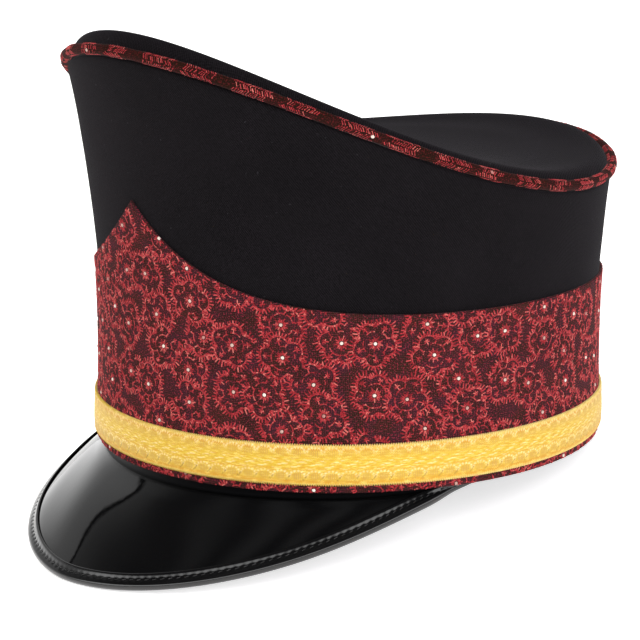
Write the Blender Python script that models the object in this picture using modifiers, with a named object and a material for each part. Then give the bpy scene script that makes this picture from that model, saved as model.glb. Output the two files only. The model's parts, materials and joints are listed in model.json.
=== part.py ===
"""Shako: a stiff cloth-covered hat with a raised front, a brocade band, a gold braid and a glossy peak.

The hat is modelled level, its front facing -Y and the lower edge of its wall at height 0.
It then leans back until the peak's edge and the back of the wall's lower edge both touch the floor.
A place on the hat is given by an angle round the head, 0 at the front and positive to the wearer's
left, and by an offset outwards from the oval of the wall's outer face.
"""

import math

import bpy
import numpy as np

# Driving sizes, in metres unless the name says otherwise
GAP = 0.0003                # left between pieces that touch
HEAD_LENGTH = 0.1956        # hollow at the lower edge, front to back
HEAD_WIDTH = 0.1804         # hollow at the lower edge, side to side

WALL_THICKNESS = 0.0022
STRAIGHT_RISE = 0.010       # height up to which the wall is upright
DRAW_IN = 0.0069            # how far the wall would close towards the front's top, without its flare
FLARE = 0.0200              # how far the flare opens it again there
FLARE_POWER = 2.155         # 1 is a straight cone, more turns out later
RIM_FRONT = 0.1535          # heights of the piping's centre
RIM_SIDE = 0.1076
RIM_BACK = 0.1091

PIPING_RADIUS = 0.0020
PIPING_INSET = 0.0002       # the cord's centre, inside the wall's outer face

TOP_THICKNESS = 0.0020
TOP_EDGE_LIFT = 0.0004      # upper face of the top panel above the cord's centre, at its seam
TOP_PUFF = 0.0048           # how far it swells above its seam
TOP_FRONT_PUFF = 0.0055     # how much more it swells at the raised front
TOP_FRONT_POWER = 9         # more keeps that extra closer to the front
TOP_ROLL = 0.0026           # distance in which it does most of that

BAND_THICKNESS = 0.0010
BAND_SIDE = 0.0635          # height of the brocade at the sides and back
BAND_TIP = 0.0997           # height of its point at the front
BAND_SWEEP_DEG = 118        # angle at which the point's edges have run level
BAND_SWEEP_POWER = 5.5      # 1 is a straight edge, more hollows it

BRAID_THICKNESS = 0.0010
BRAID_WIDTH = 0.0152
BRAID_RISE = 0.0028         # brocade left showing under the braid

PEAK_THICKNESS = 0.0016
PEAK_FLANGE = 0.0080        # how far the peak's sewn edge stands up inside the wall
PEAK_CREASE = 0.0040        # how far below the wall the peak bends outwards, at the front
PEAK_CREASE_END = 0.0021    # the same at the peak's ends
PEAK_REACH = 0.0397         # crease to edge at the front, measured level
PEAK_DROP = 0.0290          # crease to edge at the front, measured down
PEAK_BULGE = 0.0012         # how far it is arched between crease and edge
PEAK_LIMIT_DEG = 77.6       # angle at which the peak's outline would meet the wall
PEAK_END_DEG = 84           # angle at which its ends stop, inside the wall
PEAK_TUCK = 0.0016          # how far its ends step inwards, to leave room for the binding in the wall
PEAK_TUCK_DEG = (50, 66)    # angles between which its sewn part does so
EDGE_TUCK_DEG = (68, 80)    # and its edge
PEAK_FOLD_DEG = (65, 81)    # angles between which its bend climbs, to a binding's width above its edge
PEAK_RISE = 0.0024          # how far its ends then climb inside the wall
PEAK_RISE_DEG = (76, 84)    # angles between which they do so
PEAK_OUTLINE = (1.62, 1.52)  # powers of the peak's outline: the first blunts its front, the second
PEAK_FALL = (1.85, 1.61)     # draws in its sides; and the same for how far it drops

BINDING_WIDTH = 0.0060      # edge binding folded over the peak's edge
BINDING_END_WIDTH = 0.0039  # the same inside the wall, at the peak's ends
BINDING_THICKNESS = 0.0008
BINDING_ROLL = 0.0013       # how far its fold stands out from the peak's edge
BEND_CLEARANCE = 0.0009     # left between its flaps and the peak's bend

# Fineness of the meshes
COLUMNS = 73                # round the head: odd, for an edge at the very front and a flat facet behind
WALL_ROWS = 12
BAND_ROWS = 5
PEAK_COLUMNS = 45
PEAK_CROWDING = 0.33        # 0 spaces them evenly, more crowds them towards the peak's ends

HALF_LENGTH = HEAD_LENGTH / 2 + WALL_THICKNESS
HALF_WIDTH = HEAD_WIDTH / 2 + WALL_THICKNESS
COLUMN_ANGLE = 2 * math.pi / COLUMNS
ROUND = (np.arange(COLUMNS) - (COLUMNS - 1) / 2) * COLUMN_ANGLE
PEAK_LIMIT = math.radians(PEAK_LIMIT_DEG)
PEAK_SHARE = np.linspace(-1, 1, PEAK_COLUMNS)
PEAK_ROUND = math.radians(PEAK_END_DEG) * PEAK_SHARE * (1 + PEAK_CROWDING * (1 - PEAK_SHARE**2))
OUTWARD = np.column_stack([np.sin(PEAK_ROUND), -np.cos(PEAK_ROUND), 0 * PEAK_ROUND])
UPWARD = np.array([0, 0, 1])


def clear_scene():
    for old in list(bpy.data.objects):
        bpy.data.objects.remove(old, do_unlink=True)
    collection = bpy.data.collections.new("shako_hat")
    bpy.context.scene.collection.children.link(collection)
    return collection


def finish(name, colour, roughness, metallic=0.0):
    material = bpy.data.materials.new(name)
    material.use_nodes = True
    shader = material.node_tree.nodes["Principled BSDF"]
    shader.inputs["Base Color"].default_value = (*colour, 1)
    shader.inputs["Roughness"].default_value = roughness
    shader.inputs["Metallic"].default_value = metallic
    material.diffuse_color = (*colour, 1)
    return material


def wall_offset(height):
    """Outward offset of the wall's outer face: it draws in as it rises, and then flares."""
    rise = np.clip(height - STRAIGHT_RISE, 0, None) / (RIM_FRONT - STRAIGHT_RISE)
    return FLARE * rise**FLARE_POWER - DRAW_IN * rise


def oval(angle, offset, height):
    """Points at an angle round the head, an offset from the wall's oval and a height."""
    x = (HALF_WIDTH + offset) * np.sin(angle)
    y = -(HALF_LENGTH + offset) * np.cos(angle)
    return np.stack(np.broadcast_arrays(x, y, height), axis=-1)


def rim_height(angle):
    """Height of the piping's centre: a parabola along the head through front, side and back."""
    along = -np.cos(angle)
    lean = (RIM_BACK - RIM_FRONT) / 2
    hollow = (RIM_BACK + RIM_FRONT) / 2 - RIM_SIDE
    return RIM_SIDE + lean * along + hollow * along**2


def rim_points(angle):
    height = rim_height(angle)
    return oval(angle, wall_offset(height) - PIPING_INSET, height)


def rim_steepness(angle):
    """Length along the rim for each unit of level length: 1 where the rim is level."""
    step = COLUMN_ANGLE / 10
    run = rim_points(angle + step) - rim_points(angle - step)
    return np.linalg.norm(run, axis=-1) / np.linalg.norm(run[..., :2], axis=-1)


def band_height(angle):
    """Upper edge of the brocade: level at the back, sweeping up to a point at the front."""
    left = np.clip(1 - np.abs(angle) / math.radians(BAND_SWEEP_DEG), 0, 1)
    return BAND_SIDE + (BAND_TIP - BAND_SIDE) * left**BAND_SWEEP_POWER


def grid_faces(rows, columns, closed):
    """Quads of a grid of points kept row by row; closed joins its last column to its first."""
    faces = []
    for row in range(rows - 1):
        for column in range(columns if closed else columns - 1):
            here = row * columns + column
            beside = row * columns + (column + 1) % columns
            faces.append((here, beside, beside + columns, here + columns))
    return faces


def add_mesh(name, points, faces, material, collection):
    mesh = bpy.data.meshes.new(name)
    mesh.from_pydata(points.reshape(-1, 3).tolist(), [], faces)
    mesh.materials.append(material)
    mesh.shade_smooth()
    mesh.set_sharp_from_angle(angle=math.radians(40))
    piece = bpy.data.objects.new(name, mesh)
    collection.objects.link(piece)
    return piece


def add_thickness(piece, thickness):
    """Gives an open sheet its wall, inwards from the face that shows."""
    solid = piece.modifiers.new("wall", "SOLIDIFY")
    solid.thickness = thickness
    solid.offset = -1
    solid.use_even_offset = True
    return piece


def upright_sheet(bottom, top, rows, extra):
    """Grid of points up the wall, at an offset outside its face: one upright row, then even ones."""
    share = np.linspace(0, 1, rows)[:, None]
    height = STRAIGHT_RISE + (np.broadcast_to(top, COLUMNS) - STRAIGHT_RISE) * share
    height = np.vstack([np.full(COLUMNS, bottom), height])
    return oval(ROUND, wall_offset(height) + extra, height)


def make_wall(collection):
    top = rim_height(ROUND) - (PIPING_RADIUS + GAP) * rim_steepness(ROUND)
    points = upright_sheet(0, top, WALL_ROWS, 0)
    cloth = finish("black_cloth", (0.012, 0.011, 0.013), 0.85)
    wall = add_mesh("crown_wall", points, grid_faces(WALL_ROWS + 1, COLUMNS, True), cloth, collection)
    return add_thickness(wall, WALL_THICKNESS)


def make_top(collection):
    """The top panel: straight from side to side, it follows the rim, and it swells inside its seam."""
    inset = PIPING_INSET + PIPING_RADIUS + GAP
    height = rim_height(ROUND)
    edge = oval(ROUND, wall_offset(height) - inset, height)
    half_width = HALF_WIDTH + wall_offset(RIM_SIDE) - inset
    rings = []
    # Distances of the rings from the seam: close together in the roll, then wide apart
    near_seam = [0, 0.5 * TOP_ROLL, 1.3 * TOP_ROLL, 3 * TOP_ROLL]
    for distance in near_seam + [0.3 * half_width, 0.62 * half_width]:
        share = 1 - distance / half_width
        along = -np.cos(ROUND) * share
        level = RIM_SIDE + (RIM_BACK - RIM_FRONT) / 2 * along
        level = level + ((RIM_BACK + RIM_FRONT) / 2 - RIM_SIDE) * along**2
        puff = TOP_PUFF + TOP_FRONT_PUFF * ((1 - along) / 2) ** TOP_FRONT_POWER
        swell = puff * (1 - math.exp(-distance / TOP_ROLL))
        rings.append(np.column_stack([edge[:, :2] * share, level + TOP_EDGE_LIFT + swell]))
    middle = [0, 0, RIM_SIDE + TOP_EDGE_LIFT + TOP_PUFF]
    points = np.vstack([*rings, middle])
    faces = grid_faces(len(rings), COLUMNS, True)
    inner = (len(rings) - 1) * COLUMNS
    faces += [(inner + c, inner + (c + 1) % COLUMNS, len(points) - 1) for c in range(COLUMNS)]
    cloth = finish("black_cloth_top", (0.014, 0.013, 0.016), 0.85)
    return add_thickness(add_mesh("top_panel", points, faces, cloth, collection), TOP_THICKNESS)


def make_piping(collection):
    """The brocade-covered cord round the rim, between the wall's edge and the top panel's."""
    curve = bpy.data.curves.new("rim_piping", "CURVE")
    curve.dimensions = "3D"
    curve.twist_mode = "Z_UP"
    curve.bevel_depth = PIPING_RADIUS
    curve.bevel_resolution = 2
    spline = curve.splines.new("POLY")
    spline.points.add(COLUMNS - 1)
    for point, place in zip(spline.points, rim_points(ROUND)):
        point.co = (*place, 1)
    spline.use_cyclic_u = True
    curve.materials.append(finish("piping_brocade", (0.16, 0.02, 0.03), 0.7))
    piping = bpy.data.objects.new("rim_piping", curve)
    collection.objects.link(piping)
    return piping


def make_band(collection):
    points = upright_sheet(0, band_height(ROUND), BAND_ROWS, GAP + BAND_THICKNESS)
    brocade = finish("red_brocade", (0.13, 0.02, 0.025), 0.7)
    band = add_mesh("brocade_band", points, grid_faces(BAND_ROWS + 1, COLUMNS, True), brocade, collection)
    return add_thickness(band, BAND_THICKNESS)


def make_braid(collection):
    outside = GAP + BAND_THICKNESS + GAP + BRAID_THICKNESS
    points = upright_sheet(BRAID_RISE, BRAID_RISE + BRAID_WIDTH, 2, outside)
    gold = finish("gold_braid", (0.85, 0.5, 0.08), 0.45, 0.4)
    braid = add_mesh("gold_braid", points, grid_faces(3, COLUMNS, True), gold, collection)
    return add_thickness(braid, BRAID_THICKNESS)


def ease(angle, limits_deg):
    """0 before the first of two angles, 1 past the second, and smooth between them, on both sides."""
    first, second = np.radians(limits_deg)
    share = np.clip((np.abs(angle) - first) / (second - first), 0, 1)
    return share**2 * (3 - 2 * share)


def unit(vectors):
    return vectors / np.linalg.norm(vectors, axis=-1, keepdims=True)


def peak_grid():
    """Upper face of the peak: up inside the wall, down to the crease, and out to the edge in an arch.

    Its ends pass under the wall's edge, then step inwards and climb inside the hat.
    """
    angle = PEAK_ROUND
    along = np.minimum(np.abs(angle / PEAK_LIMIT), 1)
    outline = (1 - along ** PEAK_OUTLINE[0]) ** PEAK_OUTLINE[1]
    fall = (1 - along ** PEAK_FALL[0]) ** PEAK_FALL[1]
    inside = -(WALL_THICKNESS + GAP)
    sewn = inside - PEAK_TUCK * ease(angle, PEAK_TUCK_DEG)
    outside = inside - PEAK_TUCK * ease(angle, EDGE_TUCK_DEG) + PEAK_REACH * outline
    base = PEAK_RISE * ease(angle, PEAK_RISE_DEG) - PEAK_CREASE_END
    base -= (PEAK_CREASE - PEAK_CREASE_END) * outline
    bend = base + (BINDING_END_WIDTH - BINDING_ROLL + BEND_CLEARANCE) * ease(angle, PEAK_FOLD_DEG)
    flange = oval(angle, sewn, np.maximum(PEAK_FLANGE, bend + PEAK_THICKNESS))
    crease = oval(angle, sewn, bend)
    edge = oval(angle, outside, base - PEAK_DROP * fall)
    slope = edge - crease
    level_run = (slope * OUTWARD).sum(axis=1, keepdims=True)
    arch = unit(OUTWARD * -slope[:, 2:] + UPWARD * level_run)
    bulge = PEAK_BULGE * outline[:, None]
    rows = [flange, crease]
    for share in (0.2, 0.4, 0.6, 0.8, 1.0):
        rows.append(crease + slope * share + arch * bulge * 4 * share * (1 - share))
    return np.array(rows)


def make_peak(collection, grid):
    patent = finish("black_patent", (0.006, 0.006, 0.007), 0.08)
    faces = [face[::-1] for face in grid_faces(len(grid), PEAK_COLUMNS, False)]
    return add_thickness(add_mesh("peak", grid, faces, patent, collection), PEAK_THICKNESS)


def make_binding(collection, grid):
    """The strip folded over the peak's edge: one section, carried along that edge."""
    crease, edge = grid[1], grid[-1]
    inwards = unit(grid[-2] - edge)
    along = unit(np.gradient(edge, axis=0))
    slant = np.sqrt(1 - (inwards * along).sum(axis=1) ** 2)
    width = BINDING_WIDTH + (BINDING_END_WIDTH - BINDING_WIDTH) * ease(PEAK_ROUND, PEAK_FOLD_DEG)
    room = np.linalg.norm(edge - crease, axis=1) - BEND_CLEARANCE
    inner = edge + inwards * np.minimum((width - BINDING_ROLL) / slant, room)[:, None]
    up = unit(np.cross(along, inwards))
    inner_up = unit(np.cross(np.gradient(inner, axis=0), inwards))
    out = np.cross(along, up)
    above = GAP + BINDING_THICKNESS
    under = -(PEAK_THICKNESS + GAP + BINDING_THICKNESS)
    middle = (above + under) / 2
    # Each row says if it is at the flaps' inner ends, and is its distance outwards and its height
    section = (
        (True, 0, above),
        (False, 0, above),
        (False, 0.8 * BINDING_ROLL, middle + 0.6 * (above - middle)),
        (False, BINDING_ROLL, middle),
        (False, 0.8 * BINDING_ROLL, middle + 0.6 * (under - middle)),
        (False, 0, under),
        (True, 0, under),
        (True, 0, under + BINDING_THICKNESS),
        (False, GAP, under + BINDING_THICKNESS),
        (False, GAP, GAP),
        (True, 0, GAP),
    )
    rows = []
    for at_inner_end, outwards, height in section:
        if at_inner_end:
            rows.append(inner + inner_up * height)
        else:
            rows.append(edge + out * outwards + up * height)
    points = np.array(rows).transpose(1, 0, 2)
    count = len(section)
    faces = grid_faces(PEAK_COLUMNS, count, True)
    faces.append(tuple(range(count))[::-1])
    faces.append(tuple((PEAK_COLUMNS - 1) * count + k for k in range(count)))
    patent = finish("patent_binding", (0.008, 0.008, 0.009), 0.2)
    return add_mesh("peak_binding", points, faces, patent, collection)


def world_points(pieces):
    """Every vertex of the finished pieces, as placed in the scene."""
    bpy.context.view_layer.update()
    graph = bpy.context.evaluated_depsgraph_get()
    found = []
    for piece in pieces:
        evaluated = piece.evaluated_get(graph)
        mesh = evaluated.to_mesh()
        points = np.empty(len(mesh.vertices) * 3)
        mesh.vertices.foreach_get("co", points)
        world = np.array(evaluated.matrix_world)
        found.append(points.reshape(-1, 3) @ world[:3, :3].T + world[:3, 3])
        evaluated.to_mesh_clear()
    return np.vstack(found)


def lay_down(pieces, holder):
    """Leans the hat back about X until front and back touch the floor, which is at height 0."""
    points = world_points(pieces)
    front = points[points[:, 1] < 0]
    back = points[points[:, 1] > 0]
    low, high = 0.0, math.pi / 4
    for _ in range(50):
        lean = (low + high) / 2
        down = np.array([0, -math.sin(lean), math.cos(lean)])
        if (front @ down).min() < (back @ down).min():
            low = lean
        else:
            high = lean
    holder.rotation_euler.x = -lean
    points = world_points(pieces)
    lowest, highest = points.min(axis=0), points.max(axis=0)
    holder.location = (0, -(lowest[1] + highest[1]) / 2, -lowest[2])
    bpy.context.view_layer.update()


def main():
    collection = clear_scene()
    holder = bpy.data.objects.new("resting_hat", None)
    collection.objects.link(holder)
    grid = peak_grid()
    pieces = [
        make_wall(collection),
        make_top(collection),
        make_piping(collection),
        make_band(collection),
        make_braid(collection),
        make_peak(collection, grid),
        make_binding(collection, grid),
    ]
    for piece in pieces:
        piece.parent = holder
    lay_down(pieces, holder)


main()
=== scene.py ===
# Looks of the shako: cloth, brocade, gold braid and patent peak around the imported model.
# Lengths are metres. A shape is worked out on the level hat, its front facing -Y and the lower
# edge of its wall at height 0, and onFloor() then leans it back to where it rests.
import json
import math
import bmesh
import bpy
import numpy as np
from mathutils import Matrix


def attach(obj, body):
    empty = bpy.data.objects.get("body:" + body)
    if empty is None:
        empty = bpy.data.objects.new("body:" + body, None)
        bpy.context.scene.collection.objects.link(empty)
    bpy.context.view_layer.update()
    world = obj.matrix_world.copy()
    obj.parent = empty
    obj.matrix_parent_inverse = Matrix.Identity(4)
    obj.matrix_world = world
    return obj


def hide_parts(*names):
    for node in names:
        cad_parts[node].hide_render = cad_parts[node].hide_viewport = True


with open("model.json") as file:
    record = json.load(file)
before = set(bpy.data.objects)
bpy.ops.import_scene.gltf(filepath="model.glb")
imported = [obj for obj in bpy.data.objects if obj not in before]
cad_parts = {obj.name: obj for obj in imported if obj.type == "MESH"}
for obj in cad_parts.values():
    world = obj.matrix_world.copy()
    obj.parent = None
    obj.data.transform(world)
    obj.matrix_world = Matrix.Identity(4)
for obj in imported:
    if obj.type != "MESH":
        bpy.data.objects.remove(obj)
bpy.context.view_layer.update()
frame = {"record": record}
random = np.random.default_rng(11)

# What every piece shares: the oval of the wall, how it flares, and the rim
hat = {
    "halfLength": 0.1000,      # outer face of the wall at its lower edge
    "halfWidth": 0.0924,
    "wall": 0.0022,            # thickness of the wall
    "gap": 0.0003,             # left between pieces that touch
    "straightRise": 0.010,     # the wall is upright up to here
    "drawIn": 0.0069,
    "flare": 0.0200,
    "flarePower": 2.155,
    "rimFront": 0.1535,        # heights of the piping's centre
    "rimSide": 0.1076,
    "rimBack": 0.1091,
    "roundRadius": 0.0975,     # turns an angle round the head into a length of cloth
    "facets": 73,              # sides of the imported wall, whose rear one is the resting mount
}
tau = 2 * math.pi


def wallOffset(height):
    # flare r^power - drawIn r, where r goes from 0 at the upright part's top to 1 at the front rim
    rise = np.clip(height - hat["straightRise"], 0, None) / (hat["rimFront"] - hat["straightRise"])
    return hat["flare"] * rise ** hat["flarePower"] - hat["drawIn"] * rise


def oval(angle, offset, height):
    # x = (halfWidth + offset) sin angle, y = -(halfLength + offset) cos angle
    x = (hat["halfWidth"] + offset) * np.sin(angle)
    y = -(hat["halfLength"] + offset) * np.cos(angle)
    return np.stack(np.broadcast_arrays(x, y, height), -1)


def rimHeight(angle, share=1.0):
    # a parabola along the head through the rim's front, side and back; share shrinks it to an inner ring
    along = -np.cos(angle) * share
    lean = (hat["rimBack"] - hat["rimFront"]) / 2
    hollow = (hat["rimBack"] + hat["rimFront"]) / 2 - hat["rimSide"]
    return hat["rimSide"] + lean * along + hollow * along ** 2


def unit(vectors):
    return vectors / np.linalg.norm(vectors, axis=-1, keepdims=True)


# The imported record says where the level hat's lower edge ended up: its rear facet and its downward axis
rest = next(m for m in frame["record"]["mounts"] if m["name"] == "lower_edge")
leanSine, leanCosine = -rest["axis"][1], -rest["axis"][2]
rearEdge = hat["halfLength"] * math.cos(math.pi / hat["facets"]) - hat["wall"] / 2


def leaned(vectors):
    # turns level directions back about X: y' = c y + s z, z' = c z - s y
    x, y, z = vectors[..., 0], vectors[..., 1], vectors[..., 2]
    return np.stack([x, leanCosine * y + leanSine * z, leanCosine * z - leanSine * y], -1)


def onFloor(points):
    return leaned(points - np.array([0, rearEdge, 0])) + np.array(rest["pos_m"])


def meshPiece(name, points, faces, material, cornerUv, masks, weld=False):
    # points are on the level hat; cornerUv has a row for each corner of each face, or is None, and a mask
    # has a value for each point
    mesh = bpy.data.meshes.new(name)
    mesh.from_pydata(onFloor(points.reshape(-1, 3)).tolist(), [], faces)
    if cornerUv is not None:
        uvLayer = mesh.uv_layers.new(name="cloth")
        uvLayer.data.foreach_set("uv", np.ascontiguousarray(cornerUv, np.float32).ravel())
    for title, values in masks.items():
        layer = mesh.attributes.new(title, "FLOAT", "POINT")
        layer.data.foreach_set("value", np.ascontiguousarray(values, np.float32).ravel())
    if weld:
        # poles and closed ends are rows of points on one spot
        work = bmesh.new()
        work.from_mesh(mesh)
        bmesh.ops.remove_doubles(work, verts=work.verts, dist=1e-7)
        bmesh.ops.dissolve_degenerate(work, edges=work.edges, dist=1e-8)
        work.to_mesh(mesh)
        work.free()
    mesh.shade_smooth()
    mesh.materials.append(material)
    piece = bpy.data.objects.new(name, mesh)
    bpy.context.scene.collection.objects.link(piece)
    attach(piece, "root")
    print(f"{name}: {len(mesh.polygons)} faces")
    return piece


def gridCorners(rows, columns):
    # the row and the column of the four corners of each quad
    r, c = (index.ravel() for index in np.meshgrid(np.arange(rows), np.arange(columns), indexing="ij"))
    return np.stack([r, r, r + 1, r + 1], 1), np.stack([c, c + 1, c + 1, c], 1)


def gridPiece(name, points, uv, material, wrapRows, wrapColumns, masks=None, weld=False):
    # points is rows x columns x 3; uv has one more row or column wherever the grid closes on itself
    rows, columns = points.shape[:2]
    cornerRow, cornerColumn = gridCorners(rows - (not wrapRows), columns - (not wrapColumns))
    faces = (cornerRow % rows) * columns + cornerColumn % columns
    values = {title: mask.ravel() for title, mask in (masks or {}).items()}
    return meshPiece(name, points, faces.tolist(), material, uv[cornerRow, cornerColumn], values, weld)


def gridUv(across, along):
    return np.stack(np.broadcast_arrays(across, along), -1)


def closedRun(angle):
    # lengths of cloth at angles round the hat, and once more at the first one
    return np.append(angle, angle[0] + tau) * hat["roundRadius"]


def runLength(points):
    # how far along the line through all the points each one lies
    return np.append(0, np.cumsum(np.linalg.norm(np.diff(points, axis=0), axis=1)))


# Shader kit: a Wire is one socket, and Python's operators on it add Math nodes
class Wire:
    def __init__(self, paint, socket):
        self.paint, self.socket = paint, socket

    def math(self, operation, *values):
        return self.paint.node("ShaderNodeMath", {"operation": operation}, dict(enumerate(values)))

    def __add__(self, other):
        return self.math("ADD", self, other)

    def __radd__(self, other):
        return self.math("ADD", other, self)

    def __sub__(self, other):
        return self.math("SUBTRACT", self, other)

    def __rsub__(self, other):
        return self.math("SUBTRACT", other, self)

    def __mul__(self, other):
        return self.math("MULTIPLY", self, other)

    def sine(self):
        return self.math("SINE", self)

    def clamped(self, low, high):
        return self.math("MINIMUM", self.math("MAXIMUM", self, low), high)


class Paint:
    # One material, or the world. node() takes a node's type, its settings, and what its sockets hold or are
    # linked to, and gives back one of its outputs
    def __init__(self, name, owner=None):
        self.owner = owner or bpy.data.materials.new(name)
        self.owner.use_nodes = True
        self.tree = self.owner.node_tree
        self.tree.nodes.clear()

    def node(self, kind, settings, inputs, output=0):
        made = self.tree.nodes.new(kind)
        for setting, value in settings.items():
            if setting == "stops":
                ramp = made.color_ramp
                while len(ramp.elements) < len(value):
                    ramp.elements.new(1.0)
                for element, (place, colour) in zip(ramp.elements, value):
                    element.position = place
                    element.color = (*colour, 1)
            else:
                setattr(made, setting, value)
        for key, value in inputs.items():
            if isinstance(value, Wire):
                self.tree.links.new(value.socket, made.inputs[key])
            elif isinstance(value, tuple) and len(value) == 3 and made.inputs[key].type == "RGBA":
                made.inputs[key].default_value = (*value, 1)
            else:
                made.inputs[key].default_value = value
        return Wire(self, made.outputs[output]) if made.outputs else None

    def coordinates(self, kind):
        # "UV" is the piece's own map, in metres on flat cloth, and "Object" the place in space
        return self.node("ShaderNodeTexCoord", {}, {}, kind)

    def split(self, vector):
        first = self.node("ShaderNodeSeparateXYZ", {}, {"Vector": vector}, "X")
        node = first.socket.node
        return first, Wire(self, node.outputs["Y"]), Wire(self, node.outputs["Z"])

    def noise(self, vector, scale, detail):
        given = {"Vector": vector, "Scale": scale, "Detail": detail}
        return self.node("ShaderNodeTexNoise", {}, given, "Fac")

    def ramp(self, factor, stops):
        return self.node("ShaderNodeValToRGB", {"stops": stops}, {"Fac": factor}, "Color")

    def mix(self, factor, first, second):
        return self.node("ShaderNodeMix", {"data_type": "RGBA"}, {0: factor, 6: first, 7: second}, 2)

    def mask(self, title):
        return self.node("ShaderNodeAttribute", {"attribute_name": title}, {}, "Fac")

    def bump(self, height, distance, strength):
        given = {"Height": height, "Distance": distance, "Strength": strength}
        return self.node("ShaderNodeBump", {}, given, "Normal")

    def finish(self, inputs):
        shader = self.node("ShaderNodeBsdfPrincipled", {}, inputs, "BSDF")
        self.node("ShaderNodeOutputMaterial", {}, {"Surface": shader})
        return self.owner


# Black cloth of the wall and the top
clothLook = {
    "dark": (0.0014, 0.0012, 0.0014),
    "light": (0.0150, 0.0128, 0.0150),
    "twillPitch": 0.00086,     # metres from one diagonal line of the twill to the next
    "twillSlope": 0.75,        # run of a line for each unit of rise
    "threadPitch": 0.00062,
    "roughness": 0.88,
    "sheen": 0.014,
    "sheenTint": (0.90, 0.78, 1.0),
}


def clothPaint(name, look):
    # twill lines sin(tau (x + slope y) / pitch), broken into threads by a finer sine across them
    paint = Paint(name)
    x, y, _ = paint.split(paint.coordinates("UV"))
    line = ((x + y * look["twillSlope"]) * (tau / look["twillPitch"])).sine()
    thread = ((y - x * look["twillSlope"]) * (tau / look["threadPitch"])).sine()
    weave = line * 0.5 + thread * 0.25 + 0.5
    cloud = paint.noise(paint.coordinates("Object"), 28.0, 3.0)
    fuzz = paint.noise(paint.coordinates("Object"), 1500.0, 2.0)
    lint = paint.noise(paint.coordinates("Object"), 620.0, 1.0)
    tone = (weave * 0.45 + cloud * 0.35 + fuzz * 0.9 - 0.5).clamped(0.0, 1.0)
    colour = paint.mix(tone, look["dark"], look["light"])
    colour = paint.mix(((lint - 0.76) * 9.0).clamped(0.0, 0.5), colour, (0.045, 0.043, 0.048))
    normal = paint.bump(weave * 0.8 + fuzz * 0.8, 0.00012, 0.8)
    return paint.finish({
        "Base Color": colour,
        "Roughness": look["roughness"] + (fuzz - 0.5) * 0.1,
        "Sheen Weight": look["sheen"],
        "Sheen Roughness": 0.45,
        "Sheen Tint": look["sheenTint"],
        "Specular IOR Level": 0.05,
        "Normal": normal,
    })


blackCloth = clothPaint("black_twill", clothLook)


def shellRows(low, high, outside, inside, counts):
    # heights and offsets of a thin wall's section, up its outer face, over its top, down inside and under:
    # low and high are heights, outside and inside offsets from the wall's oval face; edges are round
    outerCount, innerCount, edgeCount = counts
    edge = (outside - inside) / 2
    turn = np.linspace(0, math.pi, edgeCount + 2)[1:-1, None]
    up = np.linspace(0, 1, outerCount)[:, None]
    down = np.linspace(1, 0, innerCount)[:, None]
    high = np.atleast_1d(high)[None]
    low = np.atleast_1d(low)[None]
    wide = np.ones_like(high + low)
    height = np.vstack([
        low + edge + (high - low - 2 * edge) * up,
        high - edge + edge * np.sin(turn) * wide,
        low + edge + (high - low - 2 * edge) * down,
        low + edge - edge * np.sin(turn) * wide,
    ])
    offset = np.vstack([
        outside * wide * np.ones_like(up),
        (outside - edge + edge * np.cos(turn)) * wide,
        inside * wide * np.ones_like(down),
        (inside + edge - edge * np.cos(turn)) * wide,
    ])
    return height, offset


def roundAngles(columns):
    return (np.arange(columns) - columns // 2) * tau / columns


def shellPiece(name, low, high, outside, inside, columns, counts, material, ripple=None):
    angle = roundAngles(columns)
    height, offset = shellRows(low(angle), high(angle), outside, inside, counts)
    spread = wallOffset(height) + offset
    if ripple is not None:
        spread = spread + ripple(angle[None], height)
    points = oval(angle[None] + 0 * height, spread, height)
    closed = np.vstack([height, height[:1]])
    along = np.hstack([closed, closed[:, :1]])
    return gridPiece(name, points, gridUv(closedRun(angle)[None], along), material, True, True)


# The wall: cloth over card, its upper edge just under the piping
pipingSizes = {
    "radius": 0.0020,
    "inset": 0.0002,           # the cord's centre, inside the wall's outer face
    "columns": 640,
    "sides": 20,
    "unevenness": 0.00010,     # how much its thickness wanders
}
wallSizes = {
    "columns": 360,
    "counts": (72, 30, 3),     # rows up the outer face, down the inner one, and round each edge
    "waviness": 0.00035,       # how far the stiff cloth wanders from its even oval
}


def rimPoints(angle):
    height = rimHeight(angle)
    return oval(angle, wallOffset(height) - pipingSizes["inset"], height)


def rimRun(angle):
    # the way along the rim
    step = 0.004
    return rimPoints(angle + step) - rimPoints(angle - step)


def rimSteepness(angle):
    run = rimRun(angle)
    return np.linalg.norm(run, axis=-1) / np.linalg.norm(run[..., :2], axis=-1)


def wallTop(angle):
    return rimHeight(angle) - (pipingSizes["radius"] + hat["gap"]) * rimSteepness(angle)


def wallWave(angle, height):
    # slow swells of the card, which die away at the band below and at the rim
    free = np.clip((height - 0.055) / 0.02, 0, 1) * np.clip((rimHeight(angle) - height - 0.006) / 0.02, 0, 1)
    swell = np.sin(5 * angle + 40 * height) + 0.6 * np.sin(11 * angle - 65 * height + 1.3)
    return wallSizes["waviness"] * free * swell / 1.6


wallCloth = shellPiece("wall_cloth", lambda a: 0 * a, wallTop, 0.0, -hat["wall"], wallSizes["columns"],
                       wallSizes["counts"], blackCloth, wallWave)
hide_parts("crown_wall")

# The top: straight from side to side, it follows the rim and swells inside its seam
topSizes = {
    "thickness": 0.0020,
    "edgeLift": 0.0004,        # above the cord's centre at its seam
    "puff": 0.0048,
    "frontPuff": 0.0064,       # how much more it swells at the raised front
    "frontPower": 9,
    "roll": 0.0019,            # distance from the seam in which it swells
    "columns": 360,
    "rings": 64,
    "crowding": 2.4,           # power that crowds its rings towards the seam
    "hollow": 0.0006,          # how far the cloth dips between its puffed edge and its middle
    "hollowReach": 0.03,       # distance from the seam in which it does
}


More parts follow.
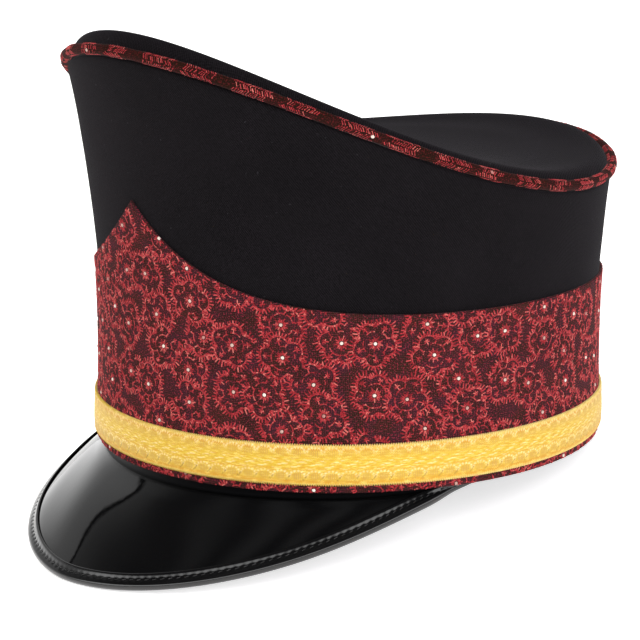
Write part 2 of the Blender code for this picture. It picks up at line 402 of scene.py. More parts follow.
def topRings(sizes, columns):
    # a ring at distance d from the seam has share = 1 - d / halfWidth of the rim's width, and
    # height = rim(share) + edgeLift + puff (1 - e^(-d / roll)) - hollow sin^2(pi d / hollowReach)
    angle = roundAngles(columns)
    # sewn to the cord, so its edge lies against it
    inset = pipingSizes["inset"] + pipingSizes["radius"] - pipingSizes["unevenness"]
    height = rimHeight(angle)
    edge = oval(angle, wallOffset(height) - inset, height)[:, :2]
    halfWidth = hat["halfWidth"] + wallOffset(hat["rimSide"]) - inset
    distance = halfWidth * np.linspace(0, 1, sizes["rings"])[:, None] ** sizes["crowding"]
    share = 1 - distance / halfWidth
    along = -np.cos(angle)[None] * share
    puff = sizes["puff"] + sizes["frontPuff"] * ((1 - along) / 2) ** sizes["frontPower"]
    swell = puff * (1 - np.exp(-distance / sizes["roll"]))
    dip = sizes["hollow"] * np.sin(math.pi * np.clip(distance / sizes["hollowReach"], 0, 1)) ** 2
    level = rimHeight(angle[None], share) + sizes["edgeLift"] + swell - dip
    plan = edge[None] * share[..., None]
    return np.concatenate([plan, level[..., None]], -1)


upper = topRings(topSizes, topSizes["columns"])
acrossRing = np.roll(upper, -1, 1) - np.roll(upper, 1, 1)
inwardRing = np.gradient(upper, axis=0)
topNormal = np.cross(inwardRing[:-1], acrossRing[:-1])
topNormal = unit(topNormal * np.sign(topNormal[..., 2:]))
topNormal = np.concatenate([topNormal, np.broadcast_to([[[0.0, 0.0, 1.0]]], (1, topSizes["columns"], 3))])
lower = upper - topNormal * topSizes["thickness"]
topPoints = np.concatenate([upper[::-1], lower])
topUv = np.concatenate([topPoints, topPoints[:, :1]], 1)[..., :2]
topCloth = gridPiece("top_cloth", topPoints, topUv, blackCloth, False, True, weld=True)
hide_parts("top_panel")

# Red brocade: a dark ribbed ground, and rosettes whose every stitch is a small ridge of thread
brocadeLook = {
    "groundDark": (0.0080, 0.0044, 0.0022),
    "groundBrown": (0.0300, 0.0105, 0.0050),
    "groundPlum": (0.0340, 0.0080, 0.0170),
    "rib": (0.095, 0.040, 0.042),
    "ribPitch": 0.00066,
    "speck": (0.34, 0.020, 0.052),
    "red": ((0.0, (0.12, 0.006, 0.010)), (0.35, (0.30, 0.016, 0.022)),
            (0.7, (0.46, 0.042, 0.050)), (1.0, (0.62, 0.160, 0.130))),
    "cream": ((0.0, (0.38, 0.14, 0.12)), (0.5, (0.62, 0.48, 0.40)), (1.0, (0.86, 0.80, 0.70))),
}


def groundPaint(name, look):
    # ribs sin(tau y / pitch) over a ground that drifts between brown and plum, with specks of red thread
    paint = Paint(name)
    place = paint.coordinates("UV")
    x, y, _ = paint.split(place)
    rib = (y * (tau / look["ribPitch"])).sine() * 0.5 + 0.5
    warp = (x * (tau / look["ribPitch"])).sine() * 0.5 + 0.5
    drift = paint.noise(place, 55.0, 3.0)
    hue = paint.noise(place, 140.0, 2.0)
    dots = paint.noise(place, 1900.0, 1.0)
    base = paint.mix((drift * 1.6 - 0.3).clamped(0.0, 1.0), look["groundDark"], look["groundBrown"])
    base = paint.mix((hue * 2.2 - 0.9).clamped(0.0, 0.7), base, look["groundPlum"])
    base = paint.mix(((dots - 0.56) * 7.0).clamped(0.0, 0.6), base, look["speck"])
    base = paint.mix(rib * warp * 0.6, base, look["rib"])
    normal = paint.bump(rib * 0.6 + warp * 0.4, 0.00008, 0.8)
    return paint.finish({"Base Color": base, "Roughness": 0.85 - rib * 0.1, "Specular IOR Level": 0.04,
                         "Normal": normal})


def threadPaint(look):
    # satin thread: its tint, from 0 to 1, is an attribute of each stitch
    paint = Paint("red_thread")
    fine = paint.noise(paint.coordinates("Object"), 2200.0, 1.0)
    colour = paint.ramp(paint.mask("tint") + (fine - 0.5) * 1.1, look["red"])
    return paint.finish({"Base Color": colour, "Roughness": 0.45 + fine * 0.2, "Specular IOR Level": 0.15,
                         "Normal": paint.bump(fine, 0.00003, 0.6)})


def knotPaint(look):
    paint = Paint("cream_thread")
    return paint.finish({"Base Color": paint.ramp(paint.mask("tint"), look["cream"]), "Roughness": 0.5,
                         "Specular IOR Level": 0.3})


brocadeGround = groundPaint("brocade_ground", brocadeLook)
redThread = threadPaint(brocadeLook)
creamThread = knotPaint(brocadeLook)

bandSizes = {
    "thickness": 0.0010,
    "side": 0.0635,            # height of its upper edge at the sides and back
    "tip": 0.0997,             # and of its point at the front
    "sweep": 118.0,            # degrees from the front to where that edge runs level
    "sweepPower": 5.5,
    "columns": 360,
    "counts": (24, 6, 2),
}
braidSizes = {
    "thickness": 0.0010,
    "width": 0.0152,
    "rise": 0.0028,            # brocade left showing under the braid
    "teeth": 720,              # round the hat, in its edges
    "toothDepth": 0.00065,
    "rows": 42,
    "motifs": 102,             # shells round the hat in each of its two rows
    "relief": 0.00032,
}
bandFace = hat["gap"] + bandSizes["thickness"]


def bandTop(angle):
    # side + (tip - side) (1 - |angle| / sweep)^power
    left = np.clip(1 - np.abs(angle) / math.radians(bandSizes["sweep"]), 0, 1)
    return bandSizes["side"] + (bandSizes["tip"] - bandSizes["side"]) * left ** bandSizes["sweepPower"]


bandGround = shellPiece("band_ground", lambda a: 0 * a, bandTop, bandFace, hat["gap"], bandSizes["columns"],
                        bandSizes["counts"], brocadeGround)
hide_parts("brocade_band")

rosette = {
    "petalCentre": 0.0046,     # from the rosette's middle to the middle of a petal's circle
    "petalRadius": (0.0034, 0.0030),   # with five petals, with six
    "squash": 0.06,            # how far it departs from a regular one
    "opening": 0.75,           # radians that its outline may leave open
    "secondThread": 0.00042,   # from the outline to the broken thread outside it
    "secondChance": 0.55,      # how much of that thread is there
    "combPitch": 0.00088,
    "combLength": 0.0020,
    "combLean": 0.13,          # how far a comb's stitch may slant
    "covers": 0.8,             # share of its comb that hides what a rosette lies on
    "overlap": 0.0002,         # where one stitch starts on another
    "threadWidth": 0.00060,
    "threadLift": 0.00020,
    "ring": 0.0042,            # radius of the inner ring
    "ringGap": 0.75,           # most of a petal's turn that the ring leaves open
    "veinChance": 0.55,        # how many notches send a vein in to the ring
    "sprigAt": 0.0061,         # radius of the sprigs in the petals
    "sprigReach": 0.00110,
    "sprigRays": 5,
    "sprigSpread": 0.95,       # radians between them
    "rays": 18,
    "rayStart": 0.0008,
    "rayEnd": 0.0030,
    "rayShort": 0.0007,        # how much shorter every other ray is
    "knot": 0.00070,           # radius of the cream knot in the middle
    "knotLift": 0.00042,
}


def petalEdge(turn, petals):
    # distance to the edge of a ring of circles: d cos a + sqrt(r^2 - d^2 sin^2 a), a from the nearest petal
    away = (turn + math.pi / petals) % (tau / petals) - math.pi / petals
    centre, radius = rosette["petalCentre"], rosette["petalRadius"][petals - 5]
    inner = np.clip(radius ** 2 - (centre * np.sin(away)) ** 2, 0, None)
    return (centre * np.cos(away) + np.sqrt(inner)) * (1 + rosette["squash"] * np.sin(2 * turn + petals))


def polar(radius, turn):
    return np.stack([radius * np.cos(turn), radius * np.sin(turn)], -1)


def rosetteStitches(petals):
    # starts, ends, widths and zones of one rosette's stitches, its middle at 0 and a petal along x;
    # zone 0 is the outline with its comb, zone 1 what lies inside it
    sewn = []

    def sew(start, end, width, zone):
        size = rosette["threadWidth"] * (width + 0 * start[:, 0])
        sewn.append((start, np.broadcast_to(end, start.shape), size, np.full(len(start), zone)))

    def uneven(count, low, high):
        return low + (high - low) * random.random(count)

    # the outline, cut into even lengths, open in one place, with a broken second thread outside it
    turn = np.linspace(0, tau, 2000)
    outline = polar(petalEdge(turn, petals), turn)
    length = runLength(outline)
    count = int(length[-1] / rosette["combPitch"])
    marks = np.linspace(0, length[-1], count + 1)[:-1]
    edge = np.stack([np.interp(marks, length, outline[:, k]) for k in (0, 1)], -1)
    run = unit(np.roll(edge, -1, 0) - np.roll(edge, 1, 0))
    outwards = np.stack([run[:, 1], -run[:, 0]], -1)
    beside = edge + outwards * rosette["secondThread"]
    markTurn = np.interp(marks, length, turn)
    closed = np.abs(markTurn - uneven(1, 0.6, tau - 0.6)) > uneven(1, 0, rosette["opening"]) / 2
    sew(edge[closed], np.roll(edge, -1, 0)[closed], 1.2, 0)
    thick = closed & (random.random(count) < rosette["secondChance"])
    sew(beside[thick], np.roll(beside, -1, 0)[thick], 0.9, 0)
    # the comb: a stitch outwards from each mark, nearly square to the outline
    reach = rosette["combLength"] * uneven(count, 0.72, 1.22)[:, None]
    lean = run * uneven(count, -rosette["combLean"], rosette["combLean"])[:, None]
    overlap = rosette["overlap"]
    sew((edge + outwards * overlap)[closed], (edge + (outwards + lean) * reach)[closed], 1.0, 0)
    # the inner ring, petal by petal, each stretch with its own radius and opening
    notch = (np.arange(petals) + 0.5) * tau / petals
    share = np.linspace(0, 1, 6)[:, None]
    arcTurn = notch + share * (1 - uneven(petals, 0, rosette["ringGap"])) * tau / petals
    arc = polar(rosette["ring"] * (uneven(petals, 0.94, 1.06) + 0.04 * np.sin(math.pi * share)), arcTurn)
    sew(arc[:-1].reshape(-1, 2), arc[1:].reshape(-1, 2), 0.9, 1)
    # veins from some notches in to the ring
    veined = notch[random.random(petals) < rosette["veinChance"]]
    sew(polar(petalEdge(veined, petals) - overlap, veined), polar(rosette["ring"], veined + 0.12), 1.0, 1)
    # a sprig in each petal: a stem with a small star on it
    axis = np.arange(petals) * tau / petals + uneven(petals, -0.07, 0.07)
    middle = polar(rosette["sprigAt"] * uneven(petals, 0.96, 1.04), axis)
    sew(polar(rosette["ring"] + overlap, axis), middle, 0.9, 1)
    for ray in range(rosette["sprigRays"]):
        fan = (ray - (rosette["sprigRays"] - 1) / 2) * rosette["sprigSpread"]
        spread = axis + fan + uneven(petals, -0.12, 0.12)
        sew(middle, middle + polar(rosette["sprigReach"] * uneven(petals, 0.8, 1.2), spread), 0.85, 1)
    # the star round the knot, long and short rays in turn
    rays = np.arange(rosette["rays"])
    rayTurn = (rays + uneven(len(rays), -0.12, 0.12)) * tau / len(rays)
    reach = rosette["rayEnd"] - rosette["rayShort"] * (rays % 2) - uneven(len(rays), 0, 0.0004)
    sew(polar(rosette["rayStart"], rayTurn), polar(reach, rayTurn), 0.9, 1)
    return [np.concatenate(column) for column in zip(*sewn)]


def turned(points, turn):
    c, s = np.cos(turn), np.sin(turn)
    x, y = points[..., 0], points[..., 1]
    return np.stack([c * x - s * y, s * x + c * y], -1)


def rosetteField(centres, turns, petals, wrap):
    # every stitch of every rosette on flat cloth; a later rosette covers the ones before it
    sewn = []
    for number, (centre, turn) in enumerate(zip(centres, turns)):
        start, end, size, zone = rosetteStitches(int(petals[number]))
        sewn.append((turned(start, turn) + centre, turned(end, turn) + centre, size, zone,
                     np.full(len(zone), number)))
    starts, ends, wide, zones, owner = (np.concatenate(column) for column in zip(*sewn))
    middle = (starts + ends) / 2
    shown = np.ones(len(middle), bool)
    for number in range(len(centres)):
        away = middle - centres[number]
        away[:, 0] = (away[:, 0] + wrap / 2) % wrap - wrap / 2
        turn = np.arctan2(away[:, 1], away[:, 0]) - turns[number]
        cover = petalEdge(turn, int(petals[number])) + rosette["combLength"] * rosette["covers"]
        shown &= (owner >= number) | (np.linalg.norm(away, axis=1) > cover)
    return starts[shown], ends[shown], wide[shown], zones[shown]


def clipped(field, inside):
    # keeps stitches that begin or end inside, and pulls an end that lies outside back to the border
    starts, ends, wide, zones = field
    first, last = inside(starts), inside(ends)
    keep = first | last
    starts, ends, first, last = starts[keep].copy(), ends[keep].copy(), first[keep], last[keep]
    for near, far, cross in ((starts, ends, first & ~last), (ends, starts, last & ~first)):
        low, high = np.zeros(len(near)), np.ones(len(near))
        for _ in range(8):
            half = (low + high) / 2
            within = inside(near + (far - near) * half[:, None])
            low, high = np.where(within, half, low), np.where(within, high, half)
        far[cross] = (near + (far - near) * low[:, None])[cross]
    whole = np.linalg.norm(ends - starts, axis=1) > 0.0002
    return starts[whole], ends[whole], wide[keep][whole], zones[keep][whole]


def stitchPiece(name, starts, ends, wide, lift, surface, tint, material):
    # a stitch is a ridge: four corners just under the cloth, and two points on top, drawn in at its ends
    run = ends - starts
    length = np.linalg.norm(run, axis=1, keepdims=True)
    run = run / length
    side = np.stack([-run[:, 1], run[:, 0]], -1) * wide[:, None] / 2
    taper = np.minimum(0.3 * length, wide[:, None])
    flat = np.stack([starts - side, ends - side, ends + side, starts + side,
                     starts + run * taper, ends - run * taper], 1)
    sunk = -0.00004
    heights = np.broadcast_to([sunk, sunk, sunk, sunk, lift, lift], flat.shape[:2])
    points = surface(flat[..., 0], flat[..., 1], heights)
    base = (np.arange(len(flat)) * 6)[:, None]
    sides = ((0, 1, 5, 4), (2, 3, 4, 5), (3, 2, 1, 0), (1, 2, 5), (3, 0, 4))
    faces = [base + np.array(corners)[None] for corners in sides]
    faceList = [face for block in faces for face in block.tolist()]
    corners = np.concatenate([block.ravel() for block in faces])
    return meshPiece(name, points, faceList, material, flat.reshape(-1, 2)[corners],
                     {"tint": np.repeat(tint, 6)})


def knotPiece(name, centres, radius, lift, surface):
    # each knot is a dome: on flat cloth, rings at radius cos a and height lift sin a, the lowest one sunk
    rings, sides, sunk = 3, 8, 0.00005
    climb = np.linspace(0, math.pi / 2, rings + 1)
    turn = np.arange(sides) * tau / sides
    shape = np.stack([np.cos(climb)[:, None] * np.cos(turn), np.cos(climb)[:, None] * np.sin(turn)], -1)
    wobble = 1 + 0.16 * (random.random((len(centres), 1, sides, 1)) - 0.5)
    flat = centres[:, None, None] + radius * shape[None] * wobble
    heights = np.broadcast_to((lift * np.sin(climb) - sunk * (climb == 0))[None, :, None], flat.shape[:3])
    points = surface(flat[..., 0], flat[..., 1], heights)
    block = (rings + 1) * sides
    cornerRow, cornerColumn = gridCorners(rings, sides)
    quad = cornerRow * sides + cornerColumn % sides
    base = np.arange(len(centres)) * block
    faceList = (base[:, None, None] + quad[None]).reshape(-1, 4).tolist()
    faceList += (base[:, None] + np.arange(sides)[::-1][None]).tolist()
    tint = np.repeat(random.random(len(centres)), block)
    return meshPiece(name, points, faceList, creamThread, None, {"tint": tint}, weld=True)


def onBand(u, v, lift):
    return oval(u / hat["roundRadius"], wallOffset(v) + bandFace + lift, v)


bandPattern = {
    "pairs": 24,               # pairs of rosettes in each row
    "rowPitch": 0.0193,
    "rows": 7,
    "firstRow": -0.004,
    "pairHalf": 0.0059,        # from the middle of a pair to each of its rosettes
    "pairTurns": (-0.2, -1.35),   # radians that a pair's line is turned, in every other place
    "tiltSpread": 0.25,        # and how far each departs from that
    "jitter": 0.0012,
    "overhang": 0.010,         # how far over the band's upper edge a rosette's middle may lie
    "fivePetals": 0.45,        # share of the rosettes that have five petals; the others have six
    "widths": (0.85, 0.3),     # least share of its width that a stitch has, and how much more it may have
    "tints": (0.52, 0.24),     # middle and spread
    "tuckedIn": 0.0006,        # how far the stitches run on under the braid
    "lowMargin": 0.0002,
    "topMargin": 0.0003,
}


def threadLooks(pattern, count):
    # a share of its width, and a tint, for each stitch
    least, more = pattern["widths"]
    share = least + more * random.random(count)
    return share, np.clip(random.normal(*pattern["tints"], count), 0, 1)


def bandCentres(p):
    # pairs on a staggered lattice that closes round the hat, each pair turned its own way
    wrap = tau * hat["roundRadius"]
    pitch = wrap / p["pairs"]
    row, column = np.meshgrid(np.arange(p["rows"]), np.arange(p["pairs"]), indexing="ij")
    row, column = row.ravel(), column.ravel()
    u = (column + 0.5 * (row % 2)) * pitch - wrap / 2
    v = p["firstRow"] + row * p["rowPitch"]
    middle = np.stack([u, v], -1) + p["jitter"] * (random.random((len(u), 2)) - 0.5) * 2
    tilt = np.array(p["pairTurns"])[(row + column) % 2] + p["tiltSpread"] * (random.random(len(u)) - 0.5) * 2
    reach = p["pairHalf"] * np.stack([np.cos(tilt), np.sin(tilt)], -1)
    centres = np.stack([middle - reach, middle + reach], 1).reshape(-1, 2)
    highest = bandTop(centres[:, 0] / hat["roundRadius"]) + p["overhang"]
    return centres[centres[:, 1] < highest], wrap


def insideBand(points):
    angle, height = points[:, 0] / hat["roundRadius"], points[:, 1]
    p = bandPattern
    braidLow = braidSizes["rise"] + p["tuckedIn"]
    braidHigh = braidSizes["rise"] + braidSizes["width"] - p["tuckedIn"]
    underBraid = (height > braidLow) & (height < braidHigh)
    return (height > p["lowMargin"]) & (height < bandTop(angle) - p["topMargin"]) & ~underBraid


centres, bandWrap = bandCentres(bandPattern)
turns = random.random(len(centres)) * tau
petals = 5 + (random.random(len(centres)) > bandPattern["fivePetals"])
starts, ends, wide, zones = clipped(rosetteField(centres, turns, petals, bandWrap), insideBand)
share, tint = threadLooks(bandPattern, len(starts))
wide = wide * share
bandThreads = []
for zone, title in enumerate(("band_rosettes", "band_sprigs")):
    own = zones == zone
    bandThreads.append(stitchPiece(title, starts[own], ends[own], wide[own], rosette["threadLift"], onBand,
                                   tint[own], redThread))
knots = centres[insideBand(centres) & (centres[:, 1] > 0.0008)]
bandKnots = knotPiece("band_knots", knots, rosette["knot"], rosette["knotLift"], onBand)


# The piping: a cord in brocade round the rim
def rimFrame(angle):
    centre = rimPoints(angle)
    tangent = unit(rimRun(angle))
    outward = oval(angle, 0, 0.0) * np.array([1 / hat["halfWidth"] ** 2, 1 / hat["halfLength"] ** 2, 0])
    outward = unit(outward - tangent * (outward * tangent).sum(-1, keepdims=True))
    return centre, outward, np.cross(outward, tangent)


def pipingRadius(angle):
    wander = np.sin(23 * angle + 0.6) + np.sin(41 * angle) + 0.7 * np.sin(67 * angle + 2.0)
    return pipingSizes["radius"] + pipingSizes["unevenness"] * wander / 2.7


def onPiping(u, v, lift):
    # v runs round the cord, 0 at its outer side and rising; radius(u) + lift from the cord's centre
    angle = u / hat["roundRadius"]
    centre, outward, upward = rimFrame(angle)
    turn = (v / pipingSizes["radius"])[..., None]
    radius = (pipingRadius(angle) + lift)[..., None]
    return centre + radius * (np.cos(turn) * outward + np.sin(turn) * upward)


angle = roundAngles(pipingSizes["columns"])
around = np.arange(pipingSizes["sides"]) * tau / pipingSizes["sides"] * pipingSizes["radius"]
pipingPoints = onPiping((angle * hat["roundRadius"])[None] + 0 * around[:, None],
                        around[:, None] + 0 * angle[None], 0 * angle[None] + 0 * around[:, None])
pipingUv = gridUv(closedRun(angle)[None], np.append(around, tau * pipingSizes["radius"])[:, None])
# on the cord the ground is darker, its ribs pulled tight
cordLook = {
    **brocadeLook,
    "groundDark": (0.0050, 0.0024, 0.0014),
    "groundBrown": (0.0170, 0.0060, 0.0030),
    "groundPlum": (0.0200, 0.0045, 0.0050),
    "rib": (0.036, 0.016, 0.012),
    "speck": (0.16, 0.012, 0.018),
}
cordGround = groundPaint("cord_ground", cordLook)
pipingCord = gridPiece("piping_cord", pipingPoints, pipingUv, cordGround, True, True)
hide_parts("rim_piping")

# The cord shows only parts of rosettes: patches of short slanted stitches with bare ground between them
pipingPattern = {
    "patches": 38,
    "fill": (0.50, 0.74),      # share of its place that a patch takes up
    "pitch": 0.00074,          # between two stitches of a row
    "rows": (-0.0056, -0.0037, -0.0018, 0.0001, 0.0020, 0.0039),   # lower ends of its rows, round the cord
    "kept": 0.90,              # share of a patch's stitches that are there
    "length": 0.00165,
    "lean": 0.0008,            # how far a stitch slants along the cord
    "width": 0.00046,
    "widths": (0.8, 0.5),      # least share of that width, and how much more
    "tints": (0.58, 0.22),     # middle and spread
    "lift": 0.00012,
    "knots": 9,
    "knotRadius": 0.00060,
    "knotLift": 0.00030,
    "knotSpread": 0.0020,      # how far round the cord the knots lie apart
}


def pipingStitches(p):
    # rows lean by turns one way and the other, and some stitches are left out
    wrap = tau * hat["roundRadius"]
    places = np.arange(0, wrap, p["pitch"])
    patch = np.floor(places / wrap * p["patches"]).astype(int)
    share = places / wrap * p["patches"] - patch
    fill = p["fill"][0] + (p["fill"][1] - p["fill"][0]) * random.random(p["patches"])
    sewn = []
    for row, low in enumerate(p["rows"]):
        first = 0.10 * random.random(p["patches"]) + 0.06 * (row % 2)
        last = first + fill + 0.08 * (random.random(p["patches"]) - 0.5)
        kept = (share > first[patch]) & (share < last[patch]) & (random.random(len(patch)) < p["kept"])
        u = places[kept] - wrap / 2 + 0.0002 * random.random(kept.sum())
        v = low + 0.0004 * (random.random(kept.sum()) - 0.5)
        lean = p["lean"] * np.cos(math.pi * (patch + row)) + 0.0003 * (random.random(len(patch)) - 0.5)
        lean = lean[kept]
        reach = p["length"] * (0.75 + 0.4 * random.random(kept.sum()))
        sewn.append((np.stack([u, v], -1), np.stack([u + lean, v + reach], -1)))
    return [np.concatenate(column) for column in zip(*sewn)]


def pipingKnotPlaces(p):
    # one knot somewhere in each equal stretch of the cord
    run = (np.arange(p["knots"]) + random.random(p["knots"])) * tau * hat["roundRadius"] / p["knots"]
    around = p["knotSpread"] * (random.random(p["knots"]) - 0.3)
    return np.stack([run - math.pi * hat["roundRadius"], around], -1)


starts, ends = pipingStitches(pipingPattern)
share, tint = threadLooks(pipingPattern, len(starts))
pipingThread = stitchPiece("piping_rosettes", starts, ends, pipingPattern["width"] * share,
                           pipingPattern["lift"], onPiping, tint, redThread)
pipingKnots = knotPiece("piping_knots", pipingKnotPlaces(pipingPattern), pipingPattern["knotRadius"],
                        pipingPattern["knotLift"], onPiping)

# The braid: woven gold, two rows of shells with a plaited middle, and small teeth along both edges
braidLook = {
    "yellow": (0.65, 0.44, 0.026),
    "deep": (0.60, 0.28, 0.004),
    "tan": (0.50, 0.28, 0.060),
    "pale": (0.84, 0.64, 0.14),
    # white is a painted highlight: the glints on the gold threads
    "white": (0.98, 0.88, 0.52),
    "brown": (0.14, 0.050, 0.008),
    "hatchPitch": 0.00066,     # metres between the upright threads of a shell
}


def braidPaint(look):
    # threads run along the braid, paler and deeper by a noise stretched that way, and upright in its shells
    paint = Paint("gold_weave")
    x, y, _ = paint.split(paint.coordinates("UV"))
    stretched = paint.node("ShaderNodeCombineXYZ", {}, {"X": x * 330.0, "Y": y * 2400.0})
    along = paint.noise(stretched, 1.0, 2.0)
    upright = (x * (tau / look["hatchPitch"])).sine() * 0.5 + 0.5
    fine = paint.noise(paint.coordinates("UV"), 1700.0, 2.0)
    shell = paint.mask("tan")
    colour = paint.mix(paint.mask("deep"), look["yellow"], look["deep"])
    colour = paint.mix(((along - 0.53) * 7.0).clamped(0.0, 0.9), colour, look["pale"])
    colour = paint.mix(((0.45 - along) * 7.0).clamped(0.0, 0.7), colour, look["deep"])
    colour = paint.mix(shell * (upright * 0.8 + 0.2), colour, look["tan"])
    # painted highlight: where the pale mask says, the gold is mixed towards white glints
    colour = paint.mix(paint.mask("pale"), colour, look["white"])
    colour = paint.mix(paint.mask("slash"), colour, look["brown"])
    colour = paint.mix(((0.44 - fine) * 5.0).clamped(0.0, 0.45), colour, look["tan"])
    thread = along * (1.0 - shell) + upright * shell * 0.6
    return paint.finish({"Base Color": colour, "Roughness": 0.42 + fine * 0.2, "Metallic": 0.1,
                         "Specular IOR Level": 0.45, "Normal": paint.bump(thread + fine * 0.4, 0.00012, 0.9)})


goldWeave = braidPaint(braidLook)


def braidPattern(u, v):
    # u counts motifs round the hat, v goes from 0 at the lower edge to 1 at the upper one. Returns relief
    # from 0 to 1, and how deep, tan, lit by painted highlights and cut by a dark slash the gold is there.
    across = (u % 1) - 0.5
    motif = np.floor(u).astype(int) % braidSizes["motifs"]
    relief = np.full(np.broadcast(u, v).shape, 0.35)
    tanShade = np.zeros_like(relief)
    paintedHighlight = np.zeros_like(relief)
    deepShade = 0.30 * np.exp(-((v - 0.40) / 0.05) ** 2) + 0.15
    for middle, strength in ((0.235, 0.95), (0.815, 0.80)):
        # a shell is an oval with a flat foot: distance 1 on its border; painted highlights stand round its
        # head as pale dashes
        vary = random.random((braidSizes["motifs"], 2))[motif]
        rise = (v - middle) / 0.092
        aside = (across + 0.04 * (vary[..., 0] - 0.5)) / 0.32
        distance = (np.abs(aside) ** 2.4 + np.abs(rise) ** 2.4) ** (1 / 2.4)
        inner = np.clip((1.05 - distance) * 4, 0, 1) * (0.7 + 0.3 * vary[..., 1])
        border = np.exp(-((distance - 1.36) / 0.20) ** 2) * np.clip(rise + 0.6, 0, 1)
        spokes = 0.5 + 0.5 * np.cos(np.arctan2(rise, aside) * 13)
        relief = relief + inner * 0.30 + border * spokes * 0.55
        tanShade = np.maximum(tanShade, inner * strength)
        paintedHighlight = np.maximum(paintedHighlight, border * spokes * (0.55 + 0.4 * vary[..., 1]))
    # a dark slash stands between two lower shells, and a dot beside it
    beside = ((u + 0.5) % 1) - 0.5
    slash = np.exp(-((beside - 1.5 * (v - 0.22)) / 0.032) ** 2 - ((v - 0.22) / 0.050) ** 4)
    dot = np.exp(-((beside + 0.16) / 0.040) ** 2 - ((v - 0.15) / 0.018) ** 2)
    slashShade = np.maximum(slash, dot) * (0.45 + 0.55 * random.random(braidSizes["motifs"])[motif])
    # the plaited middle lies in long low waves
    waist = np.exp(-((v - 0.53) / 0.14) ** 4)
    plait = np.sin(tau * (u * 0.5 - 2.0 * (v - 0.5))) * np.sin(tau * (v * 12 + 0.25 * np.sin(tau * u)))
    relief = relief + waist * 0.30 * plait
    # painted highlight: the crests of the plait are paler
    paintedHighlight = np.maximum(paintedHighlight, waist * np.clip(plait - 0.40, 0, 1) * 1.1)
    # upright threads show faintly in both rows, between the shells too
    side = np.minimum(v, 1 - v)
    tanShade = np.maximum(tanShade, 0.28 * np.exp(-((side - 0.21) / 0.11) ** 4))
    deepShade = deepShade + 0.85 * np.exp(-((side - 0.10) / 0.035) ** 2)
    threads = 0.5 + 0.5 * np.cos(tau * u * braidSizes["teeth"] / braidSizes["motifs"])
    edge = np.clip(1 - side / 0.07, 0, 1)
    relief = relief + edge * (threads - 0.5) * 0.7
    # painted highlight: pale ticks along the teeth of both edges
    paintedHighlight = np.maximum(paintedHighlight, edge * (1 - threads) * 0.6)
    return relief, {title: np.clip(shade, 0, 1) for title, shade in (
        ("deep", deepShade), ("tan", tanShade), ("pale", paintedHighlight), ("slash", slashShade))}


def braidGrid(sizes):
    columns = sizes["teeth"] * 3
    angle = roundAngles(columns)
    face = hat["gap"] + bandFace + sizes["thickness"]
    share = np.linspace(0, 1, sizes["rows"])[:, None]
    tooth = sizes["toothDepth"] * (np.arange(columns) % 3 == 1)[None]
    low, high = sizes["rise"] + tooth, sizes["rise"] + sizes["width"] - tooth
    height = low + (high - low) * share
    u = (angle * sizes["motifs"] / tau)[None] + 0 * share
    relief, shades = braidPattern(u, share + 0 * u)
    drop = sizes["relief"] * (1 - np.clip(relief, 0, 1))
    # the face falls away round its two edges
    edgeFall = 0.0004 * np.clip(1 - np.minimum(share, 1 - share) / 0.04, 0, 1) ** 2
    front = oval(angle[None] + 0 * height, wallOffset(height) + face - drop - edgeFall, height)
    back = oval(angle[None] + 0 * height[[-1, 0]], wallOffset(height[[-1, 0]]) + face - sizes["thickness"],
                height[[-1, 0]])
    points = np.concatenate([front, back])
    masks = {title: np.concatenate([shade, shade[[-1, 0]]]) for title, shade in shades.items()}
    along = np.concatenate([share[:, 0], [1.05, -0.05, 0]]) * sizes["width"]
    return points, gridUv(closedRun(angle)[None], along[:, None]), masks


points, uv, masks = braidGrid(braidSizes)
braidWeave = gridPiece("braid_weave", points, uv, goldWeave, True, True, masks)
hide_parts("gold_braid")

# The patent shows no reflection of the hat above it
for piece in (wallCloth, topCloth, bandGround, *bandThreads, bandKnots, pipingCord, pipingThread, pipingKnots,
              braidWeave):
    piece.visible_glossy = False

# The peak: patent, sewn inside the wall, bent out at a crease and arched to its edge
peakSizes = {
    "thickness": 0.0016,
    "flange": 0.0080,
    "crease": 0.0040,          # below the wall at the front
    "creaseEnd": 0.0021,       # and at its ends
    "creaseRadius": 0.0007,
    "reach": 0.0397,
    "drop": 0.0290,
    "bulge": 0.0012,
    "limit": 77.6,             # degrees at which its outline would meet the wall
    "end": 84.0,               # degrees at which its ends stop, inside the wall
    "tuck": 0.0016,            # how far its ends step inwards there
    "sewnTuck": (50, 66),      # degrees between which its sewn part steps in
    "edgeTuck": (68, 80),      # and its edge
    "fold": 0.0035,            # how far its bend climbs above its edge at the ends
    "foldAt": (65, 81),
    "rise": 0.0024,            # how far its ends then climb
    "riseAt": (76, 84),
    "outline": (1.62, 1.52),
    "fall": (1.85, 1.61),
    "columns": 281,
    "rows": 42,
    "ripple": 0.00022,         # how far the moulded patent wanders
}


def ease(angle, limits):
    # 0 before the first of two angles in degrees, 1 past the second, 3 t^2 - 2 t^3 between, on both sides
    first, second = np.radians(limits)
    share = np.clip((np.abs(angle) - first) / (second - first), 0, 1)
    return share ** 2 * (3 - 2 * share)


def peakSections(angle):
    # its sewn edge, its crease and its outer edge; the ends pass under the wall, step in and climb inside
    p = peakSizes
    turn = np.minimum(np.abs(angle) / math.radians(p["limit"]), 1)
    outline = (1 - turn ** p["outline"][0]) ** p["outline"][1]
    fall = (1 - turn ** p["fall"][0]) ** p["fall"][1]
    inside = -(hat["wall"] + hat["gap"])
    sewn = inside - p["tuck"] * ease(angle, p["sewnTuck"])
    outside = inside - p["tuck"] * ease(angle, p["edgeTuck"]) + p["reach"] * outline
    base = p["rise"] * ease(angle, p["riseAt"]) - p["creaseEnd"] - (p["crease"] - p["creaseEnd"]) * outline
    flange = oval(angle, sewn, p["flange"])
    crease = oval(angle, sewn, base + p["fold"] * ease(angle, p["foldAt"]))
    edge = oval(angle, outside, base - p["drop"] * fall)
    return flange, crease, edge, outline


